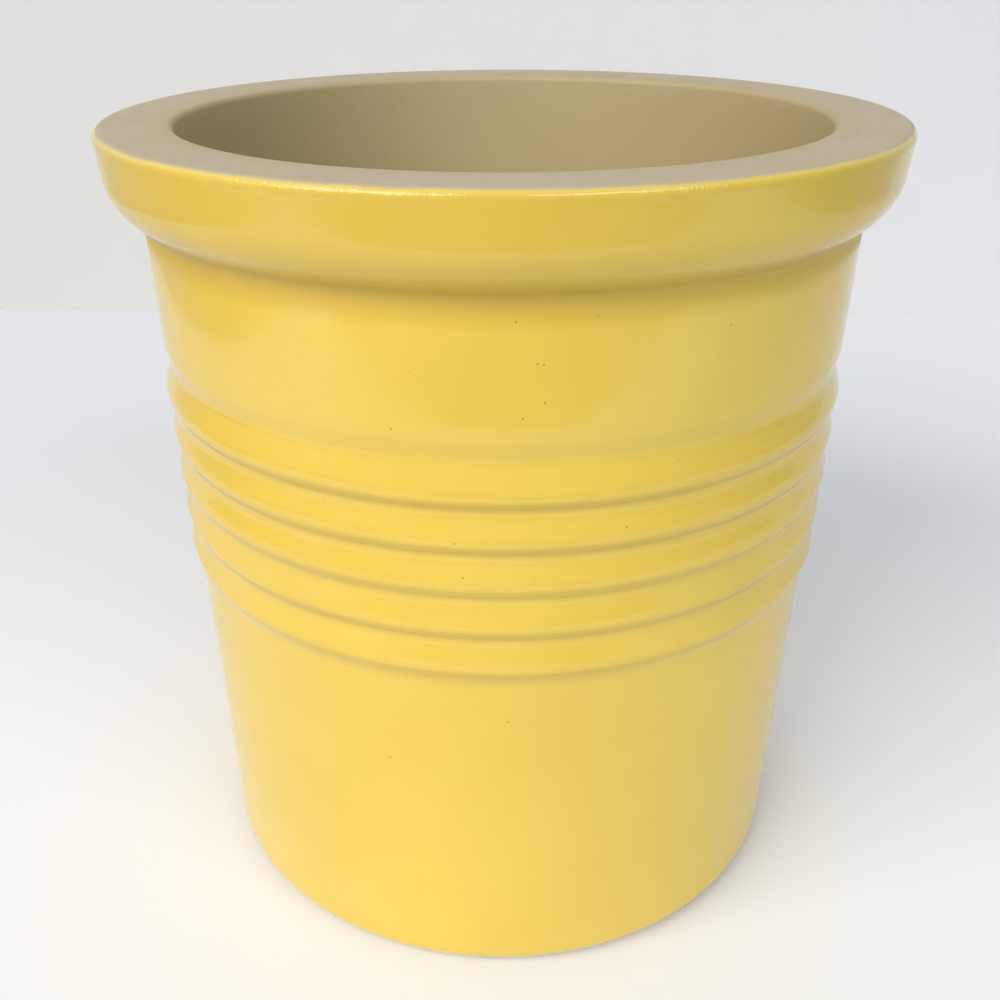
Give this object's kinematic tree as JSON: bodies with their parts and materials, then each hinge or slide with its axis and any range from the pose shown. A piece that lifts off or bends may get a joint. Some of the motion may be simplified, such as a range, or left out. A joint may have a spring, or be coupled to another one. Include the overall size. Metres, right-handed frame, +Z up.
{
  "type": "utensil crock",
  "caption": "Open stoneware crock with a heavy rolled collar, raised rings round a nearly straight wall, glossy glaze outside and satin glaze inside; holds kitchen utensils upright.",
  "frame": {"origin": "centre of the foot ring, on the surface that the crock stands on", "axes": "+Z up along the axis of rotation; +X to the right and +Y away from the viewer in the picture's view, both free to choose because the crock is round"},
  "size_m": [0.1518, 0.1518, 0.159],
  "materials": {
    "stoneware": "bare fired clay, matt and slightly sandy, seen only on the foot ring and in the corner of the recess",
    "yellow_glaze": "glossy opaque yellow glaze, a little thicker and darker in the grooves, with small pinholes",
    "taupe_glaze": "satin taupe glaze with a fine sandy speckle"
  },
  "bodies": {
    "root": {"stoneware_body": "stoneware", "outer_glaze": "yellow_glaze", "liner_glaze": "taupe_glaze", "recess_glaze": "yellow_glaze"}
  },
  "joints": []
}
